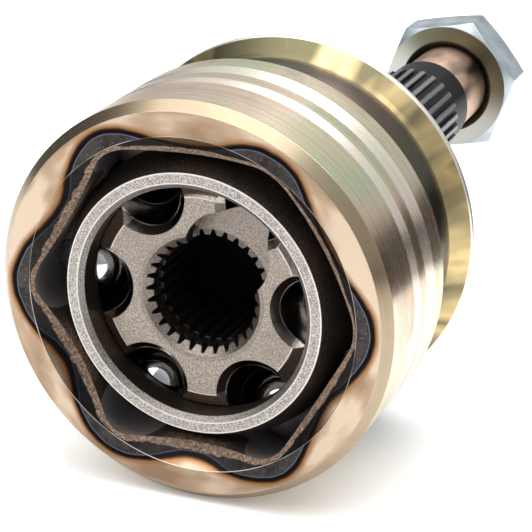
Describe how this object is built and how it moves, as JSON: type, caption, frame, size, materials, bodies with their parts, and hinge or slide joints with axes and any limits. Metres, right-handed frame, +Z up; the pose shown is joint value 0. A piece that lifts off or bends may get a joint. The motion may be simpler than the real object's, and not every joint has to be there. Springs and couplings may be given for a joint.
{
  "type": "constant velocity joint",
  "caption": "Outer constant-velocity joint: ball bell with splined hub stub, cage, splined inner race, dust deflector and hub nut.",
  "frame": {"origin": "the joint centre, where the axes of the bell and of the driveshaft cross", "axes": "+Y along the stub towards the hub nut, the mouth of the bell faces -Y, +Z up as the joint lies on its side, +X completes the frame"},
  "size_m": [0.088, 0.1885, 0.088],
  "materials": {
    "forged_steel": "turned and heat tinted, black oxide inside the mouth",
    "yellow_zinc": "yellow zinc",
    "ground_steel": "ground face, dark polished tracks",
    "phosphated_steel": "granular phosphate",
    "ball_steel": "polished",
    "bright_zinc": "bright zinc"
  },
  "bodies": {
    "bell": {"outer_race": "forged_steel", "dust_deflector": "yellow_zinc"},
    "race": {"inner_race": "ground_steel"},
    "cage": {"cage": "phosphated_steel"},
    "nut": {"hub_nut": "bright_zinc"},
    "ball_1": {"ball_1": "ball_steel"},
    "ball_2": {"ball_2": "ball_steel"},
    "ball_3": {"ball_3": "ball_steel"},
    "ball_4": {"ball_4": "ball_steel"},
    "ball_5": {"ball_5": "ball_steel"},
    "ball_6": {"ball_6": "ball_steel"}
  },
  "joints": [
    {"name": "race_tilt", "type": "hinge", "parent": "bell", "child": "race", "pos_m": [0, 0, 0], "axis": [0, 0, 1], "range_deg": [-45, 45]},
    {"name": "cage_tilt", "type": "hinge", "parent": "bell", "child": "cage", "pos_m": [0, 0, 0], "axis": [0, 0, 1], "range_deg": [-22.5, 22.5]},
    {"name": "nut_turn", "type": "hinge", "parent": "bell", "child": "nut", "pos_m": [0, 0.16085, 0], "axis": [0, 1, 0], "continuous": true},
    {"name": "ball_1_roll", "type": "hinge", "parent": "bell", "child": "ball_1", "pos_m": [0, -0.0035, 0], "axis": [0, 0, 1], "range_deg": [-22.5, 22.5]},
    {"name": "ball_2_roll", "type": "hinge", "parent": "bell", "child": "ball_2", "pos_m": [0, -0.0035, 0], "axis": [-0.866, 0, 0.5], "range_deg": [-11.7, 11.7]},
    {"name": "ball_3_roll", "type": "hinge", "parent": "bell", "child": "ball_3", "pos_m": [0, -0.0035, 0], "axis": [-0.866, 0, -0.5], "range_deg": [-11.7, 11.7]},
    {"name": "ball_4_roll", "type": "hinge", "parent": "bell", "child": "ball_4", "pos_m": [0, -0.0035, 0], "axis": [0, 0, -1], "range_deg": [-22.5, 22.5]},
    {"name": "ball_5_roll", "type": "hinge", "parent": "bell", "child": "ball_5", "pos_m": [0, -0.0035, 0], "axis": [0.866, 0, -0.5], "range_deg": [-11.7, 11.7]},
    {"name": "ball_6_roll", "type": "hinge", "parent": "bell", "child": "ball_6", "pos_m": [0, -0.0035, 0], "axis": [0.866, 0, 0.5], "range_deg": [-11.7, 11.7]}
  ],
  "couplings": [
    {"joint": "cage_tilt", "follows": "race_tilt", "ratio": 0.5},
    {"joint": "ball_1_roll", "follows": "race_tilt", "ratio": 0.5},
    {"joint": "ball_2_roll", "follows": "race_tilt", "ratio": 0.26},
    {"joint": "ball_3_roll", "follows": "race_tilt", "ratio": -0.26},
    {"joint": "ball_4_roll", "follows": "race_tilt", "ratio": -0.5},
    {"joint": "ball_5_roll", "follows": "race_tilt", "ratio": -0.26},
    {"joint": "ball_6_roll", "follows": "race_tilt", "ratio": 0.26}
  ]
}
